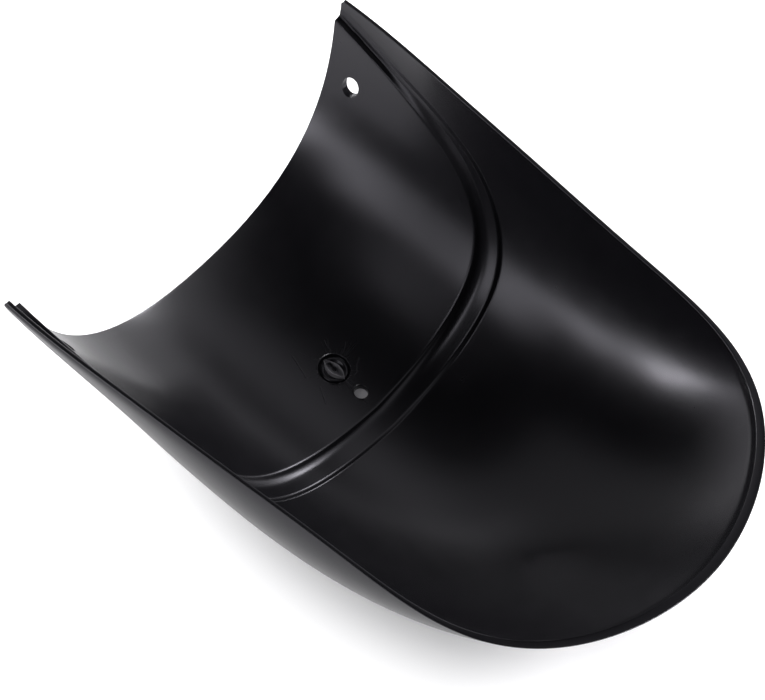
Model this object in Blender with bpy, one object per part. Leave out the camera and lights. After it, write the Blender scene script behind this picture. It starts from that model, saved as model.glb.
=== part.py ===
import bmesh
import bpy
import numpy as np

# Front fender extension: one moulded shell, lying on its convex back.
# Lengths are in metres. In the drawing frame x runs from the open mouth to the
# rounded tip, the rim lies in the plane z = 0 and the trough hangs below it.

# Sheet that carries the whole part, as Bezier control values along its length.
length = 0.2038
half_widths = [0.0690, 0.07196, 0.06784, 0.05703]
wall_rises = [0.06995, 0.0400, 0.0480]
floor_depths = [0.06082, 0.04876, 0.07253, 0.0600, 0.0]
floor_shares = [0.746, 0.518]
bend_shares = [0.424, 0.501]
mouth_flare = 0.0048
flare_reach = 0.0390
mouth_rake_share = 0.19
rake_reach = 0.0750

# Wall and its edges.
wall = 0.0020
rim_wall = 0.00125
thinning_power = 6
edge_round = 0.0003
mouth_corner = 0.0016

# Joggle round the tongue that slips inside the fender, line by line from the tongue
# out to the lip: where each line crosses the middle, how high it runs up the sides as
# a share of the half section, and how far each face stands above the lip there. Near
# the mouth the two steps run together, and the mouth lists take over.
joggle_reaches = [
    0.0790, 0.0798, 0.0807, 0.0820, 0.0833, 0.0839, 0.0848,
    0.0880, 0.0885, 0.0890, 0.0897, 0.0904, 0.0908, 0.0914,
]
joggle_side_shares = [
    0.9245, 0.9290, 0.9347, 0.9490, 0.9625, 0.9628, 0.9631,
    0.9636, 0.9638, 0.9640, 0.9680, 0.9722, 0.9736, 0.9756,
]
joggle_mouth_shares = [
    0.9245, 0.9300, 0.9355, 0.9440, 0.9530, 0.9545, 0.9562,
    0.9585, 0.9603, 0.9622, 0.9665, 0.9705, 0.9730, 0.9760,
]
joggle_inner_rises = [
    0.00255, 0.00253, 0.00241, 0.00182, 0.00124, 0.00113, 0.00110,
    0.00110, 0.00107, 0.00096, 0.00055, 0.00014, 0.00002, 0.0,
]
joggle_outer_rises = [
    0.00255, 0.00252, 0.00224, 0.00159, 0.00119, 0.00113, 0.00110,
    0.00109, 0.00094, 0.00062, 0.00027, 0.00006, 0.00002, 0.0,
]
mouth_inner_rises = [
    0.00255, 0.00252, 0.00240, 0.00140, 0.00042, 0.00033, 0.00029,
    0.00025, 0.00023, 0.00020, 0.00012, 0.00005, 0.00002, 0.0,
]
mouth_outer_rises = [
    0.00255, 0.00212, 0.00150, 0.00064, 0.00028, 0.00025, 0.00022,
    0.00018, 0.00015, 0.00012, 0.00008, 0.00003, 0.00001, 0.0,
]
merge_reach = 0.0350
tongue_rise = 0.00255

# Plan of the joggle, as Bezier control shares: how far along, and how high at the
# first step and at the second. The mix shares say how far each line goes over from
# the one to the other.
plan_along_shares = [0.0, 0.6092, 0.7264, 0.9119, 0.9637, 1.0]
plan_first_shares = [1.0, 0.8650, 0.7642, 0.6221, 0.5320, 0.0]
plan_second_shares = [1.0, 0.8196, 0.9914, 0.3849, 0.7314, 0.0]
plan_mix_shares = [
    0.0, 0.0, 0.0, 0.5, 1.0, 1.0, 1.0,
    1.0, 1.0, 1.0, 1.0, 1.0, 1.0, 1.0,
]

# Where the mesh runs: shares between the middle line and the joggle, and between
# the joggle and the rim.
spine_length = 0.0500
tongue_shares = [0.13, 0.28, 0.44, 0.60, 0.75, 0.87, 0.95]
lip_shares = [0.05, 0.15, 0.27, 0.40, 0.53, 0.66, 0.78, 0.88, 0.95]
rays = 36
slope_probe = 0.0001

# Holes and the moulding gate, all placed in the drawing frame.
side_hole_x = 0.0142
side_hole_z = -0.0232
side_hole_radius = 0.00325
middle_hole_x = 0.0776
middle_hole_radius = 0.00235
gate_x = 0.0665
gate_radius = 0.0046
gate_depth = 0.0005
gate_floor_z = -0.0584
stub_length = 0.0062
stub_width = 0.0026
stub_height = 0.0011
through_reach = 0.0090
hole_sides = 32


def bezier(t, values):
    rows = [np.full_like(t, value) for value in values]
    while len(rows) > 1:
        rows = [(1.0 - t) * low + t * high for low, high in zip(rows, rows[1:])]
    return rows[0]


def section(x):
    t = x / length
    width = bezier(t, half_widths)
    rise = bezier(t, wall_rises)
    depth = bezier(t, floor_depths)
    floor = bezier(t, floor_shares)
    bend = bezier(t, bend_shares)
    flare = mouth_flare * np.exp(-(x / flare_reach) ** 2)
    return width, rise, depth, floor, bend, flare


def sheet(x, s):
    # One point of the sheet: s is the share of the half section, signed by side.
    width, rise, depth, floor, bend, flare = section(x)
    u = np.abs(s)
    v = 1.0 - u
    across = 3.0 * v * v * u * floor * width + 3.0 * v * u * u * width + u ** 3 * (width + flare)
    up = 3.0 * v * u * u * bend * rise + u ** 3 * rise - depth
    lean = mouth_rake_share * np.exp(-(x / rake_reach) ** 2)
    return np.stack([x - lean * up, across * np.sign(s), up], axis=-1)


def inward(x, s):
    # Unit normal of the sheet, towards the inside of the trough.
    probe = slope_probe / length
    along = sheet(x + slope_probe, s) - sheet(x - slope_probe, s)
    across = sheet(x, s + probe) - sheet(x, s - probe)
    normal = np.cross(along, across)
    return normal / np.linalg.norm(normal, axis=-1, keepdims=True)


def level_share(x, below):
    # Share of the half section at which the sheet lies this far below the rim.
    low = np.zeros_like(x)
    high = np.full_like(x, 1.3)
    for step in range(50):
        middle = 0.5 * (low + high)
        under = sheet(x, middle)[..., 2] < -below
        low = np.where(under, middle, low)
        high = np.where(under, high, middle)
    return 0.5 * (low + high)


def level_end(below):
    # How far along the middle line the floor reaches this level at the tip.
    low = 0.5 * length
    high = length
    for step in range(50):
        middle = 0.5 * (low + high)
        if bezier(np.array(middle / length), floor_depths) > below:
            low = middle
        else:
            high = middle
    return 0.5 * (low + high)


def spread(x, s, count):
    # Points at even steps of true length along a curve that is drawn on the sheet.
    points = sheet(x, s)
    steps = np.linalg.norm(np.diff(points, axis=0), axis=1)
    travelled = np.concatenate([[0.0], np.cumsum(steps)])
    wanted = np.linspace(0.0, travelled[-1], count + 1)
    return np.interp(wanted, travelled, x), np.interp(wanted, travelled, s)


def mouth_fade(x):
    return np.exp(-(x / merge_reach) ** 2)


def joggle_curve(reach, side_share, mouth_share, mix_share):
    t = np.linspace(0.0, 1.0, 1500)
    x = reach * bezier(t, plan_along_shares)
    first = bezier(t, plan_first_shares)
    second = bezier(t, plan_second_shares)
    height = (1.0 - mix_share) * first + mix_share * second
    share = (side_share + (mouth_share - side_share) * mouth_fade(x)) * height
    return spread(x, share * level_share(x, 0.0), rays)


def level_curve(below):
    t = np.linspace(0.0, 1.0, 1500)
    x = level_end(below) * (1.0 - (1.0 - t) ** 2)
    s = level_share(x, below)
    s[-1] = 0.0
    return spread(x, s, rays)


def blend(first, second, share):
    return tuple((1.0 - share) * a + share * b for a, b in zip(first, second))


def both_sides(points):
    # Mirrors a half ring that ends on the middle line.
    other = points[-2::-1] * np.array([1.0, -1.0, 1.0])
    return np.concatenate([points, other])


def ring_pair(curve, inner_rise, outer_rise):
    x, s = curve
    base = sheet(x, s)
    normal = inward(x, s)
    inner_rise = np.broadcast_to(inner_rise, x.shape)[:, None]
    outer_rise = np.broadcast_to(outer_rise, x.shape)[:, None]
    return base + inner_rise * normal, base + (outer_rise - wall) * normal


def joggle_pair(curve, inner_rise, outer_rise, mouth_inner_rise, mouth_outer_rise):
    fade = mouth_fade(curve[0])
    inner = inner_rise + (mouth_inner_rise - inner_rise) * fade
    outer = outer_rise + (mouth_outer_rise - outer_rise) * fade
    return ring_pair(curve, inner, outer)


def cut_mouth(points):
    # The mouth is one flat cut, rounded where it meets the rim.
    below = -points[0, 2]
    points[0, 0] = mouth_rake_share * below
    if below < mouth_corner:
        points[0, 0] += mouth_corner - np.sqrt(mouth_corner ** 2 - (mouth_corner - below) ** 2)
    return points


def shell_rings():
    # Half rings from the middle line out to the rim: inner face, outer face, edge.
    lines = zip(joggle_reaches, joggle_side_shares, joggle_mouth_shares, plan_mix_shares)
    joggles = [joggle_curve(*line) for line in lines]
    spine = (np.linspace(0.0, spine_length, rays + 1), np.zeros(rays + 1))
    rim = level_curve(edge_round)
    pairs = [ring_pair(spine, tongue_rise, tongue_rise)]
    for share in tongue_shares:
        pairs.append(ring_pair(blend(spine, joggles[0], share), tongue_rise, tongue_rise))
    for line in zip(
            joggles, joggle_inner_rises, joggle_outer_rises,
            mouth_inner_rises, mouth_outer_rises):
        pairs.append(joggle_pair(*line))
    for share in lip_shares + [1.0]:
        thinner = (wall - rim_wall) * share ** thinning_power
        pairs.append(ring_pair(blend(joggles[-1], rim, share), 0.0, thinner))

    start, end = pairs[-1]
    normal = inward(*rim)
    level = np.linalg.norm(normal[:, :2], axis=1, keepdims=True)
    away = -np.concatenate([normal[:, :2] / level, np.zeros((rays + 1, 1))], axis=1)
    up_wall = np.concatenate([-normal[:, :2] * normal[:, 2:] / level, level], axis=1)
    climb = -start[:, 2:] / level
    inner_corner = start + up_wall * climb
    outer_corner = inner_corner + away * rim_wall / level
    inner_land = inner_corner + away * edge_round
    outer_land = outer_corner - away * edge_round
    outer_wall = outer_corner - up_wall * climb
    edge = [
        0.25 * start + 0.5 * inner_corner + 0.25 * inner_land,
        inner_land,
        outer_land,
        0.25 * outer_land + 0.5 * outer_corner + 0.25 * outer_wall,
        outer_wall,
    ]
    inner_rings = [cut_mouth(inner) for inner, outer in pairs]
    outer_rings = [cut_mouth(outer) for inner, outer in pairs]
    return inner_rings, outer_rings, [cut_mouth(ring) for ring in edge]


def rest_turn(points, triangles, back_line):
    # Turn about Y that brings the nearest point of the lip's back under the centre of mass.
    corners = points[triangles]
    volumes = np.einsum("ij,ij->i", corners[:, 0], np.cross(corners[:, 1], corners[:, 2]))
    centre = (volumes[:, None] * corners.sum(axis=1)).sum(axis=0) / (4.0 * volumes.sum())
    start = back_line[:-1]
    step = back_line[1:] - start
    share = np.einsum("ij,ij->i", centre - start, step) / np.einsum("ij,ij->i", step, step)
    foot = start + np.clip(share, 0.0, 1.0)[:, None] * step
    nearest = foot[np.argmin(np.linalg.norm(centre - foot, axis=1))]
    return np.arctan2(nearest[0] - centre[0], centre[2] - nearest[2])


def turned(points, angle):
    x = points[..., 0] * np.cos(angle) + points[..., 2] * np.sin(angle)
    z = points[..., 2] * np.cos(angle) - points[..., 0] * np.sin(angle)
    return np.stack([x, points[..., 1], z], axis=-1)


def shell_mesh():
    inner_rings, outer_rings, edge_rings = shell_rings()
    points = []
    faces = []

    def add(ring):
        first = len(points)
        points.extend(ring)
        return list(range(first, first + len(ring)))

    def add_spine(ring):
        half = add(ring)
        return half + half[-2::-1]

    def join(first, second):
        # The far side starts one corner on, so that both sides split alike.
        for k in range(rays):
            faces.append((first[k], first[k + 1], second[k + 1], second[k]))
        for k in range(rays, 2 * rays):
            faces.append((first[k + 1], second[k + 1], second[k], first[k]))

    inner = [add_spine(inner_rings[0])] + [add(both_sides(ring)) for ring in inner_rings[1:]]
    edge = [add(both_sides(ring)) for ring in edge_rings]
    outer = [add_spine(outer_rings[0])] + [add(both_sides(ring)) for ring in outer_rings[1:]]
    loop = inner + edge + outer[::-1]
    for first, second in zip(loop, loop[1:]):
        join(first, second)
    for end in (0, 2 * rays):
        for k in range(len(inner) - 1):
            strip = (inner[k][end], inner[k + 1][end], outer[k + 1][end], outer[k][end])
            faces.append(strip if end == 0 else strip[::-1])
        rim = [inner[-1][end]] + [ring[end] for ring in edge] + [outer[-1][end]]
        faces.append(tuple(rim) if end == 0 else tuple(rim[::-1]))
    return np.array(points), faces, outer_rings


def new_object(name, mesh):
    item = bpy.data.objects.new(name, mesh)
    bpy.context.scene.collection.objects.link(item)
    return item


def rod(radius, start, end, angle):
    # Closed round rod between two points, as bmesh geometry in the turned frame.
    shape = bmesh.new()
    bmesh.ops.create_cone(
        shape, cap_ends=True, segments=hole_sides, radius1=radius, radius2=radius,
        depth=float(np.linalg.norm(end - start)))
    lengthwise = (end - start) / np.linalg.norm(end - start)
    side = np.cross(lengthwise, np.array([1.0, 0.0, 0.0]))
    side /= np.linalg.norm(side)
    third = np.cross(lengthwise, side)
    places = np.array([vert.co[:] for vert in shape.verts])
    places = 0.5 * (start + end) + places @ np.stack([side, third, lengthwise])
    for vert, place in zip(shape.verts, turned(places, angle)):
        vert.co = place
    bmesh.ops.recalc_face_normals(shape, faces=shape.faces)
    return shape


def pointed_stub(angle):
    # The nipped gate: a low boat-shaped block, pointed at both ends.
    shape = bmesh.new()
    steps = 12
    sweep = np.linspace(-1.0, 1.0, steps + 1)
    bow = 0.5 * stub_width * (1.0 - sweep ** 2)
    outline = [(gate_x + 0.5 * stub_length * a, b) for a, b in zip(sweep, bow)]
    outline += [(gate_x + 0.5 * stub_length * a, -b) for a, b in zip(sweep[-2:0:-1], bow[-2:0:-1])]
    low = gate_floor_z + tongue_rise - gate_depth - 0.5 * wall
    high = gate_floor_z + tongue_rise - gate_depth + stub_height
    base = [shape.verts.new((x, y, low)) for x, y in outline]
    top = [shape.verts.new((x, y, high)) for x, y in outline]
    shape.faces.new(base[::-1])
    shape.faces.new(top)
    for k in range(len(base)):
        after = (k + 1) % len(base)
        shape.faces.new((base[k], base[after], top[after], top[k]))
    places = turned(np.array([vert.co[:] for vert in shape.verts]), angle)
    for vert, place in zip(shape.verts, places):
        vert.co = place
    bmesh.ops.recalc_face_normals(shape, faces=shape.faces)
    return shape


def cutter(name, shapes, shift):
    mesh = bpy.data.meshes.new(name)
    joined = bmesh.new()
    for shape in shapes:
        piece = bpy.data.meshes.new(name + "_piece")
        shape.to_mesh(piece)
        shape.free()
        joined.from_mesh(piece)
        bpy.data.meshes.remove(piece)
    bmesh.ops.translate(joined, verts=joined.verts, vec=[float(value) for value in shift])
    joined.to_mesh(mesh)
    joined.free()
    item = new_object(name, mesh)
    item.hide_render = True
    item.display_type = "WIRE"
    return item


def cut(target, operand, operation):
    modifier = target.modifiers.new(operand.name, "BOOLEAN")
    modifier.object = operand
    modifier.operation = operation
    modifier.solver = "EXACT"


def black_plastic():
    material = bpy.data.materials.new("moulded_black_plastic")
    material.use_nodes = True
    shader = material.node_tree.nodes["Principled BSDF"]
    shader.inputs["Base Color"].default_value = (0.016, 0.016, 0.017, 1.0)
    shader.inputs["Roughness"].default_value = 0.42
    return material


for item in list(bpy.data.objects):
    bpy.data.objects.remove(item, do_unlink=True)

points, faces, outer_rings = shell_mesh()
triangles = []
for face in faces:
    for k in range(1, len(face) - 1):
        triangles.append((face[0], face[k], face[k + 1]))
lip_back = np.array([ring[-1] for ring in outer_rings[-len(lip_shares) - 2:]])
tilt = rest_turn(points, np.array(triangles), lip_back)
placed = turned(points, tilt)
low = placed.min(axis=0)
high = placed.max(axis=0)
shift = -np.array([0.5 * (low[0] + high[0]), 0.0, low[2]])

mesh = bpy.data.meshes.new("fender_extension")
mesh.from_pydata((placed + shift).tolist(), [], faces)
shaped = bmesh.new()
shaped.from_mesh(mesh)
bmesh.ops.recalc_face_normals(shaped, faces=shaped.faces)
shaped.to_mesh(mesh)
shaped.free()
extension = new_object("fender_extension", mesh)
mesh.materials.append(black_plastic())
mesh.shade_smooth()
mesh.set_sharp_from_angle(angle=np.radians(38.0))

tongue_floor_z = gate_floor_z + tongue_rise
side_reach = max(half_widths) + through_reach
side_rod = rod(
    side_hole_radius,
    np.array([side_hole_x, -side_reach, side_hole_z]),
    np.array([side_hole_x, side_reach, side_hole_z]), tilt)
middle_rod = rod(
    middle_hole_radius,
    np.array([middle_hole_x, 0.0, tongue_floor_z - through_reach]),
    np.array([middle_hole_x, 0.0, tongue_floor_z + through_reach]), tilt)
gate_well = rod(
    gate_radius,
    np.array([gate_x, 0.0, tongue_floor_z - gate_depth]),
    np.array([gate_x, 0.0, tongue_floor_z + through_reach]), tilt)
cut(extension, cutter("gate_well", [gate_well], shift), "DIFFERENCE")
cut(extension, cutter("fastening_holes", [side_rod, middle_rod], shift), "DIFFERENCE")
cut(extension, cutter("gate_stub", [pointed_stub(tilt)], shift), "UNION")
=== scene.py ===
import math

import bmesh
import bpy
import numpy as np
from mathutils import Matrix, Vector


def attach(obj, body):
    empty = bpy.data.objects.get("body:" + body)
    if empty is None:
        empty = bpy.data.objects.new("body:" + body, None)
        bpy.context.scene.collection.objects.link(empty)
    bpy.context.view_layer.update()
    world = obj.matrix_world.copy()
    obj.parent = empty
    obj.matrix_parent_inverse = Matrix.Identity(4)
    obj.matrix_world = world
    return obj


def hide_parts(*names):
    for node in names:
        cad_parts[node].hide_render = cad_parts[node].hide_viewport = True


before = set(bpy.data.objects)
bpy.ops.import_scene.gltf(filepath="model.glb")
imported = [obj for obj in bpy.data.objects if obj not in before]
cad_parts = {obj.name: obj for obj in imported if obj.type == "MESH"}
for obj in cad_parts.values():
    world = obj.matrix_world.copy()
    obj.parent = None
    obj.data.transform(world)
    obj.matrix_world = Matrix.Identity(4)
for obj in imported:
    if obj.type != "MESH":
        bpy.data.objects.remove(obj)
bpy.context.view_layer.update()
print("frame loaded")

# The moulded sheet, in metres: x from the mouth to the tip, the rim level at z = 0.
sheet = {
    "length": 0.2038,
    "halfWidths": [0.0690, 0.07196, 0.06784, 0.05703],
    "wallRises": [0.06995, 0.0400, 0.0480],
    "floorDepths": [0.06082, 0.04876, 0.07253, 0.0600, 0.0],
    "floorShares": [0.746, 0.518],
    "bendShares": [0.424, 0.501],
    "flare": 0.0048,
    "flareReach": 0.0390,
    "rakeShare": 0.19,
    "rakeReach": 0.0750,
}

# How the sheet is turned and moved so that it lies on its back.
lying = {"tilt": 0.055286375444916366, "shift": (-0.10259324, 0.0, 0.06596586)}

# Fineness of the measuring: halvings of a search, points along a curve, probe and merge lengths.
measure = {
    "halvings": 46,
    "curvePoints": 2500,
    "probe": 0.0001,
    "floorTries": 30,
    "floorProbe": 0.0005,
    "merge": 1e-7,
}


def bezier(t, values):
    rows = [np.full_like(t, value) for value in values]
    while len(rows) > 1:
        rows = [(1 - t) * low + t * high for low, high in zip(rows, rows[1:])]
    return rows[0]


def sheetPoint(x, s):
    t = x / sheet["length"]
    width = bezier(t, sheet["halfWidths"])
    rise = bezier(t, sheet["wallRises"])
    u = np.abs(s)
    v = 1 - u
    flare = sheet["flare"] * np.exp(-(x / sheet["flareReach"]) ** 2)
    across = 3 * v * v * u * bezier(t, sheet["floorShares"]) * width
    across = across + 3 * v * u * u * width + u ** 3 * (width + flare)
    up = 3 * v * u * u * bezier(t, sheet["bendShares"]) * rise + u ** 3 * rise
    up = up - bezier(t, sheet["floorDepths"])
    lean = sheet["rakeShare"] * np.exp(-(x / sheet["rakeReach"]) ** 2)
    return np.stack([x - lean * up, across * np.sign(s), up], axis=-1)


def sheetNormal(x, s):
    step = measure["probe"]
    probe = step / sheet["length"]
    along = sheetPoint(x + step, s) - sheetPoint(x - step, s)
    across = sheetPoint(x, s + probe) - sheetPoint(x, s - probe)
    normal = np.cross(along, across)
    return normal / np.linalg.norm(normal, axis=-1, keepdims=True)


def levelShare(x, below):
    low = np.zeros_like(x)
    high = np.full_like(x, 1.3)
    for step in range(measure["halvings"]):
        middle = (low + high) / 2
        under = sheetPoint(x, middle)[..., 2] < -below
        low = np.where(under, middle, low)
        high = np.where(under, high, middle)
    return (low + high) / 2


def levelEnd(below):
    low = sheet["length"] / 2
    high = sheet["length"]
    for step in range(measure["halvings"]):
        middle = (low + high) / 2
        deeper = bezier(np.array(middle / sheet["length"]), sheet["floorDepths"]) > below
        low, high = (middle, high) if deeper else (low, middle)
    return (low + high) / 2


def spread(x, s, count):
    steps = np.linalg.norm(np.diff(sheetPoint(x, s), axis=0), axis=1)
    travelled = np.concatenate([[0], np.cumsum(steps)])
    wanted = np.linspace(0, travelled[-1], count + 1)
    return np.interp(wanted, travelled, x), np.interp(wanted, travelled, s)


# The shell: wall, edges and the stepped joggle round the tongue, line by line.
shell = {
    "rays": 110,
    "wall": 0.0020,
    "rimWall": 0.00125,
    "thinning": 6,
    "edgeRound": 0.0003,
    "mouthCorner": 0.0016,
    "spine": 0.0500,
    "reaches": [0.0790, 0.0799, 0.0807, 0.0817, 0.0828, 0.0839, 0.0852,
                0.0876, 0.0884, 0.0889, 0.0895, 0.0900, 0.0904, 0.0911],
    "sideShares": [0.9325, 0.9380, 0.9425, 0.9475, 0.9535, 0.9575, 0.9605,
                   0.9625, 0.9633, 0.9643, 0.9682, 0.9722, 0.9740, 0.9760],
    "mouthShares": [0.9270, 0.9325, 0.9385, 0.9430, 0.9480, 0.9515, 0.9550,
                    0.9580, 0.9603, 0.9622, 0.9665, 0.9705, 0.9730, 0.9760],
    "innerRises": [0.00255, 0.00255, 0.00244, 0.00166, 0.00116, 0.00094, 0.00086,
                   0.00084, 0.00083, 0.00074, 0.00040, 0.00008, 0.00001, 0.0],
    "outerRises": [0.00255, 0.00252, 0.00224, 0.00159, 0.00119, 0.00113, 0.00110,
                   0.00109, 0.00094, 0.00062, 0.00027, 0.00006, 0.00002, 0.0],
    "mouthInnerRises": [0.00255, 0.00252, 0.00240, 0.00140, 0.00042, 0.00033, 0.00029,
                        0.00025, 0.00023, 0.00020, 0.00012, 0.00005, 0.00002, 0.0],
    "mouthOuterRises": [0.00255, 0.00212, 0.00150, 0.00064, 0.00028, 0.00025, 0.00022,
                        0.00018, 0.00015, 0.00012, 0.00008, 0.00003, 0.00001, 0.0],
    "mergeReach": 0.0440,
    "along": [0.0, 0.6092, 0.7264, 0.9119, 0.9637, 1.0],
    "firstHeights": [1.0, 0.8650, 0.7642, 0.6221, 0.5320, 0.0],
    "secondHeights": [1.0, 0.8196, 0.9914, 0.3849, 0.7314, 0.0],
    "mixes": [0, 0, 0, 0.5, 1, 1, 1, 1, 1, 1, 1, 1, 1, 1],
    "tongueRings": 22,
    "tongueEase": 1.35,
    "tongueBlend": 8,
    "fine": 3,
    "lipRings": 40,
    "lipEase": 1.25,
    "swell": 0.0009,
    "swellStart": 0.1200,
    "swellEnd": 0.1980,
    "swellFade": 0.0034,
}


def curved(values, position):
    # Smooth run through the values, without overshoot at level stretches.
    known = np.array(values)
    slopes = np.diff(known)
    before, after = slopes[:-1], slopes[1:]
    knots = np.zeros(len(known))
    knots[1:-1] = np.where(before * after > 0, 2 * before * after / (before + after + 1e-12), 0)
    knots[0], knots[-1] = slopes[0], slopes[-1]
    k = min(int(position), len(known) - 2)
    t = position - k
    ends = (2 * t ** 3 - 3 * t ** 2 + 1) * known[k] + (t ** 3 - 2 * t ** 2 + t) * knots[k]
    return ends + (3 * t ** 2 - 2 * t ** 3) * known[k + 1] + (t ** 3 - t ** 2) * knots[k + 1]


def mouthFade(x):
    return np.exp(-(x / shell["mergeReach"]) ** 2)


def joggleCurve(p):
    t = np.linspace(0, 1, measure["curvePoints"])
    x = curved(shell["reaches"], p) * bezier(t, shell["along"])
    share = curved(shell["mixes"], p)
    first, second = bezier(t, shell["firstHeights"]), bezier(t, shell["secondHeights"])
    height = (1 - share) * first + share * second
    side = curved(shell["sideShares"], p)
    height = height * (side + (curved(shell["mouthShares"], p) - side) * mouthFade(x))
    return spread(x, height * levelShare(x, 0), shell["rays"])


def joggleRise(curve, p, side, mouth):
    here = curved(shell[side], p)
    return here + (curved(shell[mouth], p) - here) * mouthFade(curve[0])


def levelCurve(below):
    t = np.linspace(0, 1, measure["curvePoints"])
    x = levelEnd(below) * (1 - (1 - t) ** 2)
    s = levelShare(x, below)
    s[-1] = 0
    return spread(x, s, shell["rays"])


def mix(first, second, share):
    return tuple((1 - share) * a + share * b for a, b in zip(first, second))


def cutMouth(points):
    below = -points[0, 2]
    corner = shell["mouthCorner"]
    points[0, 0] = sheet["rakeShare"] * below
    if below < corner:
        points[0, 0] += corner - math.sqrt(corner ** 2 - (corner - below) ** 2)
    return points


def smoothStep(value, start, end):
    t = np.clip((value - start) / (end - start), 0, 1)
    return t * t * (3 - 2 * t)


def rimSwell(edge):
    return shell["swell"] * smoothStep(edge[:, 0], shell["swellStart"], shell["swellEnd"])


def shellRings():
    rays = shell["rays"]
    spine = (np.linspace(0, shell["spine"], rays + 1), np.zeros(rays + 1))
    rim = levelCurve(shell["edgeRound"])
    gaps = len(shell["reaches"]) - 1
    spots = np.linspace(0, gaps, shell["fine"] * gaps + 1)
    steps = [joggleCurve(p) for p in spots]
    rise = shell["innerRises"][0]
    outerRise = shell["outerRises"][0]
    plan = []
    for k in range(shell["tongueRings"]):
        share = k / shell["tongueRings"]
        share = 1 - (1 - share) ** shell["tongueEase"]
        low = rise + (outerRise - rise) * share ** shell["tongueBlend"]
        plan.append((mix(spine, steps[0], share), rise, low))
    for p, curve in zip(spots, steps):
        high = joggleRise(curve, p, "innerRises", "mouthInnerRises")
        low = joggleRise(curve, p, "outerRises", "mouthOuterRises")
        plan.append((curve, high, low))
    for k in range(1, shell["lipRings"] + 1):
        share = math.sin(math.pi / 2 * k / shell["lipRings"]) ** shell["lipEase"]
        thinner = (shell["wall"] - shell["rimWall"]) * share ** shell["thinning"]
        plan.append((mix(steps[-1], rim, share), 0, thinner))
    inner, outer = [], []
    top = sheetPoint(*rim)
    for curve, high, low in plan:
        base = sheetPoint(*curve)
        normal = sheetNormal(*curve)
        depth = np.linalg.norm(base - top, axis=1)
        lift = high + rimSwell(top) * (1 - smoothStep(depth, 0, shell["swellFade"]))
        inner.append(base + np.broadcast_to(lift, rays + 1)[:, None] * normal)
        outer.append(base + np.broadcast_to(low - shell["wall"], rays + 1)[:, None] * normal)
    start = inner[-1]
    level = np.linalg.norm(normal[:, :2], axis=1, keepdims=True)
    away = -np.concatenate([normal[:, :2] / level, np.zeros((rays + 1, 1))], axis=1)
    upWall = np.concatenate([-normal[:, :2] * normal[:, 2:] / level, level], axis=1)
    climb = -start[:, 2:] / level
    innerCorner = start + upWall * climb
    thick = (shell["rimWall"] + rimSwell(top))[:, None]
    outerCorner = innerCorner + away * thick / level
    innerLand = innerCorner + away * shell["edgeRound"]
    outerLand = outerCorner - away * shell["edgeRound"]
    outerWall = outerCorner - upWall * climb
    edge = []
    for t in (0.25, 0.5, 0.75, 1.0):
        edge.append((1 - t) ** 2 * start + 2 * t * (1 - t) * innerCorner + t * t * innerLand)
    edge.append((innerLand + outerLand) / 2)
    for t in (0.0, 0.25, 0.5, 0.75, 1.0):
        edge.append((1 - t) ** 2 * outerLand + 2 * t * (1 - t) * outerCorner + t * t * outerWall)
    rings = inner + edge + outer[::-1]
    return [cutMouth(ring) for ring in rings], len(inner), len(edge)


def placed(points):
    tilt = lying["tilt"]
    x = points[..., 0] * math.cos(tilt) + points[..., 2] * math.sin(tilt)
    z = points[..., 2] * math.cos(tilt) - points[..., 0] * math.sin(tilt)
    return np.stack([x, points[..., 1], z], axis=-1) + np.array(lying["shift"])


def newObject(name, shape):
    mesh = bpy.data.meshes.new(name)
    shape.to_mesh(mesh)
    shape.free()
    item = bpy.data.objects.new(name, mesh)
    bpy.context.scene.collection.objects.link(item)
    return item


def buildShell():
    rings, innerCount, edgeCount = shellRings()
    across = 2 * shell["rays"]
    table = []
    for ring in rings:
        table.append(placed(np.concatenate([ring, ring[-2::-1] * np.array([1, -1, 1])])))
    shape = bmesh.new()
    bmesh.ops.create_grid(shape, x_segments=across, y_segments=len(rings) - 1, size=0.5)
    wearAndHighlight = shape.verts.layers.float.new("wearAndHighlight")
    outside = innerCount + edgeCount - 1
    rows = {}
    for vert in shape.verts:
        column = round((vert.co.x + 0.5) * across)
        row = round((vert.co.y + 0.5) * (len(rings) - 1))
        vert.co = table[row][column]
        # Two rows on the rim's corners are marked paler: partly rubbed plastic, partly a painted highlight.
        vert[wearAndHighlight] = 1.0 if row in (innerCount + 1, outside - 1) else 0.0
        rows[vert] = row
    for face in shape.faces:
        face.material_index = int(min(rows[vert] for vert in face.verts) >= outside)
    bmesh.ops.remove_doubles(shape, verts=shape.verts, dist=measure["merge"])
    # The open mouth edge is closed strip by strip between the two faces.
    openEdges = [edge for edge in shape.edges if edge.is_boundary]
    bmesh.ops.holes_fill(shape, edges=openEdges, sides=0)
    long = [face for face in shape.faces if len(face.verts) > 4]
    bmesh.ops.triangulate(shape, faces=long, ngon_method="EAR_CLIP")
    bmesh.ops.recalc_face_normals(shape, faces=shape.faces)
    return newObject("moulded_shell", shape)


# Fastening holes and the moulding gate, in the same drawing frame as the sheet.
holes = {
    "sides": 64,
    "side": (0.0142, 0.0, -0.0232),
    "sideRadius": 0.00305,
    "sideReach": 0.0800,
    "middle": (0.0776, 0.0, -0.05585),
    "middleRadius": 0.00222,
    "middleReach": 0.0090,
}
gate = {
    "x": 0.0665,
    "rise": 0.00255,
    "steps": 112,
    "pocket": [(0, -0.00090), (0.00530, -0.00090), (0.00530, 0.0030), (0, 0.0030)],
    "well": [(0, -0.00062), (0.00290, -0.00062), (0.00312, -0.00052), (0.00330, -0.00036),
             (0.00350, -0.00028), (0.00408, -0.00028), (0.00428, -0.00040), (0.00446, -0.00074),
             (0.00464, -0.00090), (0.00484, -0.00082), (0.00496, -0.00048), (0.00505, -0.00010),
             (0.00515, 0.00006), (0.00527, 0.00012), (0.00541, 0.00010), (0.00553, 0.00003),
             (0.00565, -0.00012), (0.00567, -0.00110), (0, -0.00110)],
}
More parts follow.
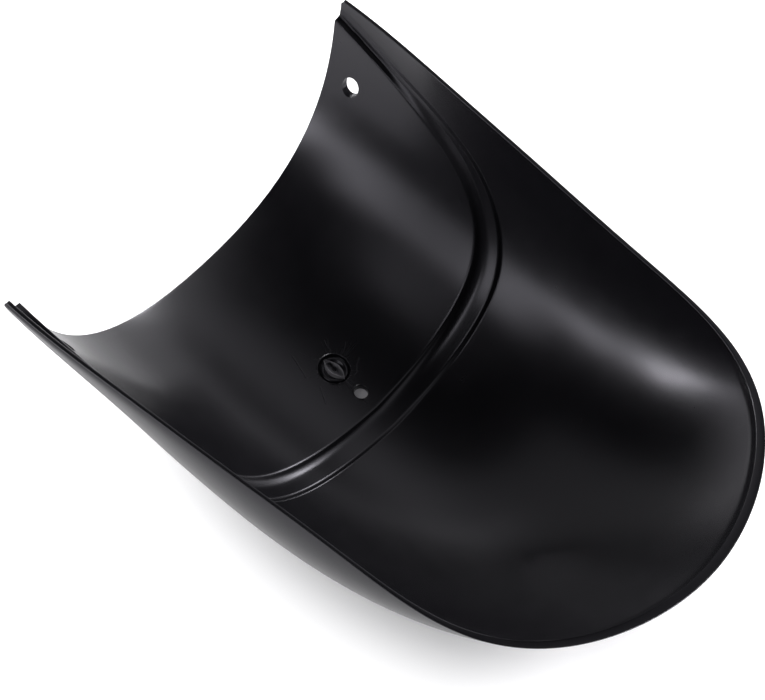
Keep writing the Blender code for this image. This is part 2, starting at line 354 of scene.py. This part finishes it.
holeLip = {
    "profile": [(0.00222, -0.00060), (0.00225, 0.00002), (0.00233, 0.00012), (0.00246, 0.00016),
                (0.00260, 0.00011), (0.00278, -0.00002), (0.00282, -0.00060)],
}


def solidOf(profile, steps, ring=False):
    # A profile of radii and heights, spun once round the upright axis.
    shape = bmesh.new()
    verts = [shape.verts.new((radius, 0, height)) for radius, height in profile]
    after = verts[1:] + verts[:1] if ring else verts[1:]
    for low, high in zip(verts, after):
        shape.edges.new((low, high))
    bmesh.ops.spin(shape, geom=shape.verts[:] + shape.edges[:], cent=(0, 0, 0), axis=(0, 0, 1),
                   angle=math.tau, steps=steps, use_merge=True)
    bmesh.ops.remove_doubles(shape, verts=shape.verts, dist=measure["merge"])
    bmesh.ops.recalc_face_normals(shape, faces=shape.faces)
    return shape


def floorSpot(x, rise):
    # Sheet position under the point of the raised middle line that lies at x.
    middle = np.zeros(1)
    spot = np.array([x])
    for step in range(measure["floorTries"]):
        reached = sheetPoint(spot, middle) + rise * sheetNormal(spot, middle)
        spot = spot + x - reached[:, 0]
    return spot[0]


def moveToFloor(shape, x=gate["x"]):
    # Bends a shape drawn round the origin onto the raised floor of the tongue.
    spot = floorSpot(x, gate["rise"])
    probe = measure["floorProbe"]
    middle = sheetPoint(np.array([spot - probe, spot + probe]), np.zeros(2))
    lengthwise = np.linalg.norm(middle[1] - middle[0]) / (2 * probe)
    sideways = sheetPoint(np.array([spot]), np.array([probe]))[0, 1] / probe
    points = np.array([vert.co[:] for vert in shape.verts])
    x = spot + points[:, 0] / lengthwise
    s = points[:, 1] / sideways
    lift = (gate["rise"] + points[:, 2])[:, None] * sheetNormal(x, s)
    for vert, point in zip(shape.verts, placed(sheetPoint(x, s) + lift)):
        vert.co = point
    bmesh.ops.recalc_face_normals(shape, faces=shape.faces)
    return shape


def cutAway(target, tool):
    modifier = target.modifiers.new("cut", "BOOLEAN")
    modifier.object = tool
    modifier.operation = "DIFFERENCE"
    modifier.solver = "EXACT"
    graph = bpy.context.evaluated_depsgraph_get()
    target.data = bpy.data.meshes.new_from_object(target.evaluated_get(graph))
    target.modifiers.clear()
    bpy.data.objects.remove(tool)


def drill(reach, radius):
    return solidOf([(0, -reach), (radius, -reach), (radius, reach), (0, reach)], holes["sides"])


def cutHoles(target):
    lay = Matrix.Translation(lying["shift"]) @ Matrix.Rotation(lying["tilt"], 4, "Y")
    side = drill(holes["sideReach"], holes["sideRadius"])
    side.transform(lay @ Matrix.Translation(holes["side"]) @ Matrix.Rotation(math.pi / 2, 4, "X"))
    cutAway(target, newObject("side_tool", side))
    middle = drill(holes["middleReach"], holes["middleRadius"])
    middle.transform(lay @ Matrix.Translation(holes["middle"]))
    cutAway(target, newObject("middle_tool", middle))
    cutAway(target, newObject("pocket_tool", moveToFloor(solidOf(gate["pocket"], gate["steps"]))))


# The nipped sprue. Its pits: place along and across, half sizes and depth.
sprue = {
    "length": 0.0086,
    "width": 0.0034,
    "foot": -0.0008,
    "footSpread": (1.05, 1.40),
    "steps": (72, 24),
    "crown": 0.00012,
    "rimHeight": 0.00030,
    "ragged": 0.00009,
    "seed": 7,
    "waves": 6,
    "point": (0.90, 0.07, 0.00028),
    "tail": (0.25, 0.00030, 0.00060),
    "pits": [(-0.00175, 0.00003, 0.00112, 0.00074, 0.00150), (0.00000, 0.00006, 0.00094, 0.00070, 0.00135)],
    "pitRound": 0.6,
    "merge": 2e-6,
}


def sprueHeight(u, v, x, y, waves):
    # Raised ragged edges, a pointed end, a lifted tail and two pits.
    ragged = sum(math.sin(u * (9 + 7 * k) + v * (3 + 2 * k) + wave) for k, wave in enumerate(waves))
    height = sprue["crown"] + sprue["rimHeight"] * abs(v) ** 3 + sprue["ragged"] * (ragged / sprue["waves"])
    place, reach, rise = sprue["point"]
    height += rise * math.exp(-((u + place) / reach) ** 2)
    start, rise, fall = sprue["tail"]
    if u > start:
        height += (u - start) * (rise * (1 - v) - fall * (u - start))
    for pitX, pitY, long, wide, deep in sprue["pits"]:
        far = ((x - pitX) / long) ** 2 + ((y - pitY) / wide) ** 2
        height -= deep * max(0.0, 1 - far) ** sprue["pitRound"]
    return height


def buildStub():
    # Pointed at both ends, hollow between raised edges, with a bar across.
    along, across = sprue["steps"]
    shape = bmesh.new()
    bmesh.ops.create_grid(shape, x_segments=along, y_segments=across, size=1)
    wearAndHighlight = shape.verts.layers.float.new("wearAndHighlight")
    rng = np.random.default_rng(sprue["seed"])
    waves = rng.uniform(0, math.tau, sprue["waves"])
    for vert in shape.verts:
        u, v = vert.co.x, vert.co.y
        x = sprue["length"] / 2 * u
        y = sprue["width"] / 2 * (1 - u * u) * v
        vert.co = (x, y, sprueHeight(u, v, x, y, waves))
        vert[wearAndHighlight] = min(1.0, abs(v) ** 5 + 0.7 * abs(u) ** 8)
    outline = [edge for edge in shape.edges if edge.is_boundary]
    skirt = bmesh.ops.extrude_edge_only(shape, edges=outline)["geom"]
    foot = [item for item in skirt if isinstance(item, bmesh.types.BMVert)]
    for vert in foot:
        vert.co = (vert.co.x * sprue["footSpread"][0], vert.co.y * sprue["footSpread"][1], sprue["foot"])
    bmesh.ops.holes_fill(shape, edges=[edge for edge in shape.edges if edge.is_boundary], sides=0)
    bmesh.ops.remove_doubles(shape, verts=shape.verts, dist=sprue["merge"])
    return newObject("gate_stub", moveToFloor(shape))


def smooth(item, angle):
    item.data.shade_smooth()
    item.data.set_sharp_from_angle(angle=math.radians(angle))


fender = buildShell()
cutHoles(fender)
smooth(fender, 40)
print("shell", len(fender.data.polygons), "faces")

well = newObject("gate_well", moveToFloor(solidOf(gate["well"], gate["steps"])))
smooth(well, 60)
stub = buildStub()
smooth(stub, 50)
lipShape = solidOf(holeLip["profile"], gate["steps"], ring=True)
lip = newObject("hole_lip", moveToFloor(lipShape, holes["middle"][0]))
smooth(lip, 50)
print("gate and hole lip", sum(len(item.data.polygons) for item in (well, stub, lip)), "faces")

# Materials: one polish for the inside, a finer grain outside, a paler one on the nipped sprue.
plastic = {
    "insideColours": ((0.0023, 0.0022, 0.0029, 1), (0.0044, 0.0042, 0.0053, 1)),
    "outsideColours": ((0.0040, 0.0039, 0.0045, 1), (0.0090, 0.0088, 0.0098, 1)),
    "nippedColours": ((0.0050, 0.0048, 0.0058, 1), (0.0300, 0.0290, 0.0330, 1)),
    # The rim corners' paler colour: partly rubbed plastic, partly a painted highlight.
    "rimWearAndHighlightColour": (0.0300, 0.0295, 0.0320, 1),
    "tornColour": (0.1700, 0.1650, 0.1800, 1),
    "finishes": {
        "satinBlackPlastic": {
            "Polish": 0.26, "Polish Spread": 0.06, "Grain Scale": 2600.0, "Grain Depth": 0.10,
            "Wave Scale": 75.0, "Wave Depth": 0.10},
        "grainedBlackPlastic": {
            "Polish": 0.34, "Polish Spread": 0.08, "Grain Scale": 1900.0, "Grain Depth": 0.45,
            "Wave Scale": 60.0, "Wave Depth": 0.08},
        "nippedBlackPlastic": {
            "Polish": 0.42, "Polish Spread": 0.20, "Grain Scale": 3200.0, "Grain Depth": 0.8,
            "Wave Scale": 900.0, "Wave Depth": 0.5},
    },
    "grain": {"Detail": 3.0, "Roughness": 0.6},
    "waves": {"Detail": 1.5, "Roughness": 0.4},
    "blotch": {"Scale": 110.0, "Detail": 5.0, "Roughness": 0.62},
    "waveHeight": 0.0004,
    "grainHeight": 0.00002,
    "gloss": 0.30,
    "glossTint": (0.915, 0.895, 1.0, 1),
    "scratches": [((0.0029, 0.0087), (0.0039, 0.0063)), ((0.0039, 0.0063), (0.0057, 0.0042)),
                  ((0.0057, 0.0042), (0.0057, 0.0028)), ((-0.0062, 0.0040), (-0.0088, 0.0052)),
                  ((-0.0020, 0.0068), (-0.0036, 0.0098)), ((-0.0120, -0.0060), (-0.0040, -0.0088)),
                  ((0.0010, -0.0080), (0.0062, -0.0115))],
    "scratchWidth": 0.00022,
}
# Streaks that run out from the gate: where they start, peak and fade, as shares of their reach.
streak = {
    "reach": 0.016,
    "stops": ((0.28, 0.0), (0.37, 1.0), (0.50, 0.35)),
    "noise": {"Scale": 6.5, "Detail": 4.0, "Roughness": 0.75},
    "edges": {"From Min": 0.52, "From Max": 0.78},
    "bump": {"Strength": 0.42, "Distance": 0.00005},
    "rougher": 0.12,
}


def nodeAt(tree, kind, place, **settings):
    node = tree.nodes.new(kind)
    node.location = (place[0] * 190, -place[1] * 170)
    for name, value in settings.items():
        setattr(node, name, value)
    return node


def fill(node, values):
    for name, value in values.items():
        node.inputs[name].default_value = value
    return node


def newGroup(name, inputs, outputs):
    tree = bpy.data.node_groups.new(name, "ShaderNodeTree")
    for label, kind, value in inputs:
        socket = tree.interface.new_socket(name=label, in_out="INPUT", socket_type=kind)
        if value is not None:
            socket.default_value = value
    for label, kind in outputs:
        tree.interface.new_socket(name=label, in_out="OUTPUT", socket_type=kind)
    return tree, nodeAt(tree, "NodeGroupInput", (-6, 0)), nodeAt(tree, "NodeGroupOutput", (6, 0))


def makeSurfaceGroup():
    # Grain, slow waves and uneven polish of a moulded face.
    tree, source, result = newGroup(
        "mouldedSurface",
        [("Vector", "NodeSocketVector", None), ("Grain Scale", "NodeSocketFloat", 2600.0),
         ("Grain Depth", "NodeSocketFloat", 0.1), ("Wave Scale", "NodeSocketFloat", 70.0),
         ("Wave Depth", "NodeSocketFloat", 0.1), ("Polish", "NodeSocketFloat", 0.27),
         ("Polish Spread", "NodeSocketFloat", 0.04)],
        [("Normal", "NodeSocketVector"), ("Roughness", "NodeSocketFloat"), ("Mottle", "NodeSocketFloat")])
    link = tree.links.new
    grain = fill(nodeAt(tree, "ShaderNodeTexNoise", (-4, 0)), plastic["grain"])
    waves = fill(nodeAt(tree, "ShaderNodeTexNoise", (-4, 2)), plastic["waves"])
    blotch = fill(nodeAt(tree, "ShaderNodeTexNoise", (-4, 4)), plastic["blotch"])
    link(source.outputs["Vector"], grain.inputs["Vector"])
    link(source.outputs["Vector"], waves.inputs["Vector"])
    link(source.outputs["Vector"], blotch.inputs["Vector"])
    link(source.outputs["Grain Scale"], grain.inputs["Scale"])
    link(source.outputs["Wave Scale"], waves.inputs["Scale"])
    slow = fill(nodeAt(tree, "ShaderNodeBump", (-1, 2)), {"Distance": plastic["waveHeight"]})
    fine = fill(nodeAt(tree, "ShaderNodeBump", (1, 0)), {"Distance": plastic["grainHeight"]})
    link(source.outputs["Wave Depth"], slow.inputs["Strength"])
    link(waves.outputs["Fac"], slow.inputs["Height"])
    link(source.outputs["Grain Depth"], fine.inputs["Strength"])
    link(grain.outputs["Fac"], fine.inputs["Height"])
    link(slow.outputs["Normal"], fine.inputs["Normal"])
    link(fine.outputs["Normal"], result.inputs["Normal"])
    centred = nodeAt(tree, "ShaderNodeMath", (-1, 4), operation="SUBTRACT")
    centred.inputs[1].default_value = 0.5
    link(blotch.outputs["Fac"], centred.inputs[0])
    polish = nodeAt(tree, "ShaderNodeMath", (1, 4), operation="MULTIPLY_ADD")
    link(centred.outputs[0], polish.inputs[0])
    link(source.outputs["Polish Spread"], polish.inputs[1])
    link(source.outputs["Polish"], polish.inputs[2])
    link(polish.outputs[0], result.inputs["Roughness"])
    link(blotch.outputs["Fac"], result.inputs["Mottle"])
    return tree


def makeScratchGroup():
    # How near a point is to the line between two ends, 1 on the line.
    tree, source, result = newGroup(
        "scratchLine",
        [("Vector", "NodeSocketVector", None), ("Start", "NodeSocketVector", None),
         ("Run", "NodeSocketVector", None), ("Width", "NodeSocketFloat", 0.0002)],
        [("Mask", "NodeSocketFloat")])
    link = tree.links.new
    away = nodeAt(tree, "ShaderNodeVectorMath", (-4, 0), operation="SUBTRACT")
    link(source.outputs["Vector"], away.inputs[0])
    link(source.outputs["Start"], away.inputs[1])
    forward = nodeAt(tree, "ShaderNodeVectorMath", (-2, 0), operation="DOT_PRODUCT")
    link(away.outputs[0], forward.inputs[0])
    link(source.outputs["Run"], forward.inputs[1])
    whole = nodeAt(tree, "ShaderNodeVectorMath", (-2, 2), operation="DOT_PRODUCT")
    link(source.outputs["Run"], whole.inputs[0])
    link(source.outputs["Run"], whole.inputs[1])
    share = nodeAt(tree, "ShaderNodeMath", (-1, 1), operation="DIVIDE", use_clamp=True)
    link(forward.outputs["Value"], share.inputs[0])
    link(whole.outputs["Value"], share.inputs[1])
    along = nodeAt(tree, "ShaderNodeVectorMath", (0, 1), operation="SCALE")
    link(source.outputs["Run"], along.inputs[0])
    link(share.outputs[0], along.inputs["Scale"])
    rest = nodeAt(tree, "ShaderNodeVectorMath", (1, 0), operation="SUBTRACT")
    link(away.outputs[0], rest.inputs[0])
    link(along.outputs[0], rest.inputs[1])
    distance = nodeAt(tree, "ShaderNodeVectorMath", (2, 0), operation="LENGTH")
    link(rest.outputs[0], distance.inputs[0])
    near = fill(nodeAt(tree, "ShaderNodeMapRange", (4, 0), interpolation_type="SMOOTHSTEP"),
                {"From Min": 0.0, "To Min": 1.0, "To Max": 0.0})
    link(distance.outputs["Value"], near.inputs["Value"])
    link(source.outputs["Width"], near.inputs["From Max"])
    link(near.outputs["Result"], result.inputs["Mask"])
    return tree


surfaceGroup = makeSurfaceGroup()
scratchGroup = makeScratchGroup()


def gateSpot(x, y):
    # The point of the tongue's floor beside the gate, in the part's own frame.
    shape = bmesh.new()
    shape.verts.new((x, y, 0))
    moved = moveToFloor(shape).verts
    moved.ensure_lookup_table()
    point = moved[0].co.copy()
    shape.free()
    return point


def newPlastic(name, colours):
    material = bpy.data.materials.new(name)
    material.use_nodes = True
    tree = material.node_tree
    shader = tree.nodes["Principled BSDF"]
    shader.location = (1500, 0)
    tree.nodes["Material Output"].location = (1800, 0)
    shader.inputs["Specular IOR Level"].default_value = plastic["gloss"]
    shader.inputs["Specular Tint"].default_value = plastic["glossTint"]
    spot = nodeAt(tree, "ShaderNodeTexCoord", (-4, 0))
    surface = nodeAt(tree, "ShaderNodeGroup", (-2, 0))
    surface.node_tree = surfaceGroup
    fill(surface, plastic["finishes"][name])
    tree.links.new(spot.outputs["Object"], surface.inputs["Vector"])
    tone = nodeAt(tree, "ShaderNodeMix", (0, -1), data_type="RGBA")
    tone.inputs[6].default_value, tone.inputs[7].default_value = colours
    tree.links.new(surface.outputs["Mottle"], tone.inputs[0])
    tree.links.new(tone.outputs[2], shader.inputs["Base Color"])
    tree.links.new(surface.outputs["Roughness"], shader.inputs["Roughness"])
    tree.links.new(surface.outputs["Normal"], shader.inputs["Normal"])
    return material, tree, shader, spot, surface, tone


# Paler plastic where the sprue is torn, and along the rim's corners, where the paler colour is partly
# rubbed plastic and partly a painted highlight.
def addWearAndHighlight(tree, shader, tone, colour):
    # Paler plastic where the rim's corners are worn or the sprue is torn.
    wearAndHighlight = nodeAt(tree, "ShaderNodeAttribute", (0, -3), attribute_name="wearAndHighlight")
    paleEdges = nodeAt(tree, "ShaderNodeMix", (2, -2), data_type="RGBA")
    paleEdges.inputs[7].default_value = colour
    tree.links.new(wearAndHighlight.outputs["Fac"], paleEdges.inputs[0])
    tree.links.new(tone.outputs[2], paleEdges.inputs[6])
    tree.links.new(paleEdges.outputs[2], shader.inputs["Base Color"])


def makeInside():
    material, tree, shader, spot, surface, tone = newPlastic("satinBlackPlastic", plastic["insideColours"])
    link = tree.links.new
    addWearAndHighlight(tree, shader, tone, plastic["rimWearAndHighlightColour"])
    # Streaks that run out from the gate, and a few scratches beside it.
    centre = gateSpot(0, 0)
    away = nodeAt(tree, "ShaderNodeVectorMath", (-2, 3), operation="SUBTRACT")
    away.inputs[1].default_value = centre
    link(spot.outputs["Object"], away.inputs[0])
    far = nodeAt(tree, "ShaderNodeVectorMath", (-1, 3), operation="LENGTH")
    link(away.outputs[0], far.inputs[0])
    heading = nodeAt(tree, "ShaderNodeVectorMath", (-1, 4), operation="NORMALIZE")
    link(away.outputs[0], heading.inputs[0])
    streaks = fill(nodeAt(tree, "ShaderNodeTexNoise", (0, 4)), streak["noise"])
    link(heading.outputs[0], streaks.inputs["Vector"])
    ring = nodeAt(tree, "ShaderNodeValToRGB", (0, 3))
    ring.color_ramp.interpolation = "EASE"
    stops = ring.color_ramp.elements
    stops[0].position, stops[0].color = 0.0, (0, 0, 0, 1)
    stops[1].position, stops[1].color = 1.0, (0, 0, 0, 1)
    for position, level in streak["stops"]:
        stop = stops.new(position)
        stop.color = (level, level, level, 1)
    reach = fill(nodeAt(tree, "ShaderNodeMapRange", (-1, 2)), {"From Max": streak["reach"]})
    link(far.outputs["Value"], reach.inputs["Value"])
    link(reach.outputs["Result"], ring.inputs["Fac"])
    streaky = fill(nodeAt(tree, "ShaderNodeMapRange", (1, 4), interpolation_type="SMOOTHSTEP"),
                   streak["edges"])
    link(streaks.outputs["Fac"], streaky.inputs["Value"])
    scuff = nodeAt(tree, "ShaderNodeMath", (2, 3), operation="MULTIPLY")
    link(ring.outputs["Color"], scuff.inputs[0])
    link(streaky.outputs["Result"], scuff.inputs[1])
    marks = scuff
    for k, (start, end) in enumerate(plastic["scratches"]):
        first, last = gateSpot(*start), gateSpot(*end)
        line = nodeAt(tree, "ShaderNodeGroup", (1, 5 + k))
        line.node_tree = scratchGroup
        fill(line, {"Start": first, "Run": last - first, "Width": plastic["scratchWidth"]})
        link(spot.outputs["Object"], line.inputs["Vector"])
        joined = nodeAt(tree, "ShaderNodeMath", (3, 4 + k), operation="MAXIMUM")
        link(marks.outputs[0], joined.inputs[0])
        link(line.outputs["Mask"], joined.inputs[1])
        marks = joined
    raised = fill(nodeAt(tree, "ShaderNodeBump", (5, 2)), streak["bump"])
    link(marks.outputs[0], raised.inputs["Height"])
    link(surface.outputs["Normal"], raised.inputs["Normal"])
    link(raised.outputs["Normal"], shader.inputs["Normal"])
    rougher = nodeAt(tree, "ShaderNodeMath", (5, 1), operation="MULTIPLY_ADD")
    rougher.inputs[1].default_value = streak["rougher"]
    link(marks.outputs[0], rougher.inputs[0])
    link(surface.outputs["Roughness"], rougher.inputs[2])
    link(rougher.outputs[0], shader.inputs["Roughness"])
    return material


def makeNipped():
    material, tree, shader, spot, surface, tone = newPlastic("nippedBlackPlastic", plastic["nippedColours"])
    addWearAndHighlight(tree, shader, tone, plastic["tornColour"])
    return material


insidePlastic = makeInside()
outsidePlastic = newPlastic("grainedBlackPlastic", plastic["outsideColours"])[0]
nippedPlastic = makeNipped()
fender.data.materials.append(insidePlastic)
fender.data.materials.append(outsidePlastic)
well.data.materials.append(insidePlastic)
lip.data.materials.append(insidePlastic)
stub.data.materials.append(nippedPlastic)
for piece in (fender, well, stub, lip):
    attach(piece, "root")
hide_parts("fender_extension")
print("materials")

# Floor, lamps, world and camera. Panels: direction, angular width and height, brightness.
studio = {
    "floorSize": 12.0,
    "floorColour": (0.86, 0.855, 0.875, 1),
    # Painted shade: the floor's darker colour underneath the part.
    "paintedShadeColour": (0.33, 0.325, 0.345, 1),
    "glow": 0.72,
    # Distances over which the glow fades in away from the part, a painted shadow.
    "paintedShadowReach": (0.064, 0.118),
    "paintedShadeReach": (0.040, 0.080),
    "shadeStretch": 1.55,
    "lampCentre": (0, 0, 0.03),
    "lamps": {
        "left_softbox": ((-138.0, 5.2), 1.5, (20.0, 13.0), 27.0),
        "back_softbox": ((142.5, 8.3), 1.5, (14.1, 16.6), 41.0),
        "right_softbox": ((76.3, 27.2), 1.5, (15.0, 19.1), 29.0),
    },
    "panels": [
        ((-111.2, 35.7), (11.2, 26.5), 6.0),
        ((75.9, 56.2), (91.5, 16.4), 1.05),
        ((111.5, 11.6), (63.0, 40.2), 1.55),
        ((10.7, 6.4), (52.7, 18.3), 4.0),
        ((-60.8, 4.2), (79.2, 10.3), 7.5),
        ((-83.5, 64.1), (6.0, 33.3), 7.4),
        ((164.0, 21.2), (33.2, 54.6), 0.52),
        ((-126.0, 19.0), (15.0, 12.0), 8.0),
        ((62.0, 34.0), (15.0, 15.0), 4.2),
    ],
    "panelEdge": 6.0,
}


def heading(direction):
    azimuth, elevation = (math.radians(value) for value in direction)
    level = math.cos(elevation)
    return Vector((level * math.cos(azimuth), level * math.sin(azimuth), math.sin(elevation)))


def addFloor():
    shape = bmesh.new()
    bmesh.ops.create_grid(shape, x_segments=1, y_segments=1, size=studio["floorSize"] / 2)
    floor = newObject("studio_floor", shape)
    surface = bpy.data.materials.new("paleFloor")
    surface.use_nodes = True
    tree = surface.node_tree
    link = tree.links.new
    tree.nodes.clear()
    output = nodeAt(tree, "ShaderNodeOutputMaterial", (6, 0))
    diffuse = nodeAt(tree, "ShaderNodeBsdfDiffuse", (2, 0))
    # The backdrop's own glow, faded out near the part and left out underneath it, a painted shadow round
    # and under the part.
    spot = nodeAt(tree, "ShaderNodeTexCoord", (-4, 1))
    scale = (1.0, studio["shadeStretch"], 1.0)
    stretch = fill(nodeAt(tree, "ShaderNodeMapping", (-3, 1)), {"Scale": scale})
    link(spot.outputs["Object"], stretch.inputs["Vector"])
    far = nodeAt(tree, "ShaderNodeVectorMath", (-2, 1), operation="LENGTH")
    link(stretch.outputs["Vector"], far.inputs[0])
    start, end = studio["paintedShadowReach"]
    glowBeyondPaintedShadow = fill(nodeAt(tree, "ShaderNodeMapRange", (-1, 1), interpolation_type="SMOOTHSTEP"),
                     {"From Min": start, "From Max": end, "To Min": 0.0, "To Max": studio["glow"]})
    link(far.outputs["Value"], glowBeyondPaintedShadow.inputs["Value"])
    # Painted shade: the floor's colour darkens to a grey underneath the part.
    start, end = studio["paintedShadeReach"]
    under = fill(nodeAt(tree, "ShaderNodeMapRange", (-1, -1), interpolation_type="SMOOTHSTEP"),
                 {"From Min": start, "From Max": end})
    link(far.outputs["Value"], under.inputs["Value"])
    shade = nodeAt(tree, "ShaderNodeMix", (1, -1), data_type="RGBA")
    shade.inputs[6].default_value = studio["paintedShadeColour"]
    shade.inputs[7].default_value = studio["floorColour"]
    link(under.outputs["Result"], shade.inputs[0])
    link(shade.outputs[2], diffuse.inputs["Color"])
    path = nodeAt(tree, "ShaderNodeLightPath", (-1, 3))
    seen = nodeAt(tree, "ShaderNodeMath", (0, 3), operation="MAXIMUM")
    link(path.outputs["Is Camera Ray"], seen.inputs[0])
    link(path.outputs["Is Glossy Ray"], seen.inputs[1])
    shown = nodeAt(tree, "ShaderNodeMath", (1, 3), operation="MAXIMUM")
    link(seen.outputs[0], shown.inputs[0])
    link(path.outputs["Is Transmission Ray"], shown.inputs[1])
    strength = nodeAt(tree, "ShaderNodeMath", (2, 2), operation="MULTIPLY")
    link(glowBeyondPaintedShadow.outputs["Result"], strength.inputs[0])
    link(shown.outputs[0], strength.inputs[1])
    glow = fill(nodeAt(tree, "ShaderNodeEmission", (3, 1)), {"Color": (1, 1, 1, 1)})
    link(strength.outputs[0], glow.inputs["Strength"])
    both = nodeAt(tree, "ShaderNodeAddShader", (5, 0))
    link(diffuse.outputs[0], both.inputs[0])
    link(glow.outputs[0], both.inputs[1])
    link(both.outputs[0], output.inputs["Surface"])
    floor.data.materials.append(surface)


def addLamp(name, direction, distance, spread, radiance):
    width, height = (2 * distance * math.tan(math.radians(value) / 2) for value in spread)
    lamp = bpy.data.lights.new(name, "AREA")
    lamp.shape = "RECTANGLE"
    lamp.size, lamp.size_y = width, height
    lamp.energy = math.pi * width * height * radiance
    item = bpy.data.objects.new(name, lamp)
    bpy.context.scene.collection.objects.link(item)
    away = heading(direction)
    item.location = Vector(studio["lampCentre"]) + away * distance
    item.rotation_euler = away.to_track_quat("Z", "Y").to_euler()


def makePanelGroup():
    # A soft-edged rectangular panel of the sky, 1 inside.
    tree, source, result = newGroup(
        "softPanel",
        [("Direction", "NodeSocketVector", None), ("Centre", "NodeSocketVector", None),
         ("Across", "NodeSocketVector", None), ("Upright", "NodeSocketVector", None),
         ("Inner Across", "NodeSocketFloat", 0.1), ("Outer Across", "NodeSocketFloat", 0.2),
         ("Inner Upright", "NodeSocketFloat", 0.1), ("Outer Upright", "NodeSocketFloat", 0.2)],
        [("Mask", "NodeSocketFloat")])
    link = tree.links.new
    masks = []
    for row, label in enumerate(("Across", "Upright")):
        along = nodeAt(tree, "ShaderNodeVectorMath", (-3, 2 * row), operation="DOT_PRODUCT")
        link(source.outputs["Direction"], along.inputs[0])
        link(source.outputs[label], along.inputs[1])
        size = nodeAt(tree, "ShaderNodeMath", (-2, 2 * row), operation="ABSOLUTE")
        link(along.outputs["Value"], size.inputs[0])
        soft = fill(nodeAt(tree, "ShaderNodeMapRange", (-1, 2 * row), interpolation_type="SMOOTHSTEP"),
                    {"To Min": 1.0, "To Max": 0.0})
        link(size.outputs[0], soft.inputs["Value"])
        link(source.outputs["Inner " + label], soft.inputs["From Min"])
        link(source.outputs["Outer " + label], soft.inputs["From Max"])
        masks.append(soft)
    ahead = nodeAt(tree, "ShaderNodeVectorMath", (-3, 4), operation="DOT_PRODUCT")
    link(source.outputs["Direction"], ahead.inputs[0])
    link(source.outputs["Centre"], ahead.inputs[1])
    front = nodeAt(tree, "ShaderNodeMath", (-2, 4), operation="GREATER_THAN")
    front.inputs[1].default_value = 0.0
    link(ahead.outputs["Value"], front.inputs[0])
    flat = nodeAt(tree, "ShaderNodeMath", (1, 1), operation="MULTIPLY")
    link(masks[0].outputs["Result"], flat.inputs[0])
    link(masks[1].outputs["Result"], flat.inputs[1])
    whole = nodeAt(tree, "ShaderNodeMath", (3, 2), operation="MULTIPLY")
    link(flat.outputs[0], whole.inputs[0])
    link(front.outputs[0], whole.inputs[1])
    link(whole.outputs[0], result.inputs["Mask"])
    return tree


def makeWorld():
    world = bpy.data.worlds.new("studio")
    world.use_nodes = True
    tree = world.node_tree
    link = tree.links.new
    background = tree.nodes["Background"]
    background.location = (1900, 0)
    tree.nodes["World Output"].location = (2100, 0)
    background.inputs["Color"].default_value = (1, 1, 1, 1)
    direction = nodeAt(tree, "ShaderNodeTexCoord", (-4, 0))
    group = makePanelGroup()
    edge = studio["panelEdge"]
    total = None
    for k, (towards, spread, brightness) in enumerate(studio["panels"]):
        centre = heading(towards)
        turn = math.radians(towards[0])
        across = Vector((-math.sin(turn), math.cos(turn), 0))
        panel = nodeAt(tree, "ShaderNodeGroup", (-1, 2 * k))
        panel.node_tree = group
        fill(panel, {"Centre": centre, "Across": across, "Upright": centre.cross(across)})
        for label, wide in zip(("Across", "Upright"), spread):
            half = math.sin(math.radians(wide / 2))
            soft = math.sin(math.radians(edge))
            fill(panel, {"Inner " + label: half - soft, "Outer " + label: half + soft})
        link(direction.outputs["Generated"], panel.inputs["Direction"])
        lit = nodeAt(tree, "ShaderNodeMath", (1 + k, 2 * k), operation="MULTIPLY_ADD")
        lit.inputs[1].default_value = brightness
        lit.inputs[2].default_value = 0.0
        link(panel.outputs["Mask"], lit.inputs[0])
        if total:
            link(total.outputs[0], lit.inputs[2])
        total = lit
    link(total.outputs[0], background.inputs["Strength"])
    bpy.context.scene.world = world


addFloor()
for name, (direction, distance, spread, radiance) in studio["lamps"].items():
    addLamp(name, direction, distance, spread, radiance)
makeWorld()

# The photograph's viewpoint, turned with the part.
view = {
    "place": (0.315158, -0.410616, 0.937626),
    "right": (0.74781642, 0.6634781, 0.02382053),
    "up": (-0.58066281, 0.63623662, 0.50797013),
    "back": (0.32187157, -0.3937001, 0.86104525),
    "lens": 165.15,
    "sensor": 36,
    "clip": (0.05, 50),
}
lens = bpy.data.cameras.new("photo_camera")
lens.lens = view["lens"]
lens.sensor_width = view["sensor"]
lens.clip_start, lens.clip_end = view["clip"]
camera = bpy.data.objects.new("photo_camera", lens)
bpy.context.scene.collection.objects.link(camera)
axes = Matrix((view["right"], view["up"], view["back"])).transposed().to_4x4()
camera.matrix_world = Matrix.Translation(view["place"]) @ axes
bpy.context.scene.camera = camera
bpy.context.scene.view_settings.view_transform = "Standard"
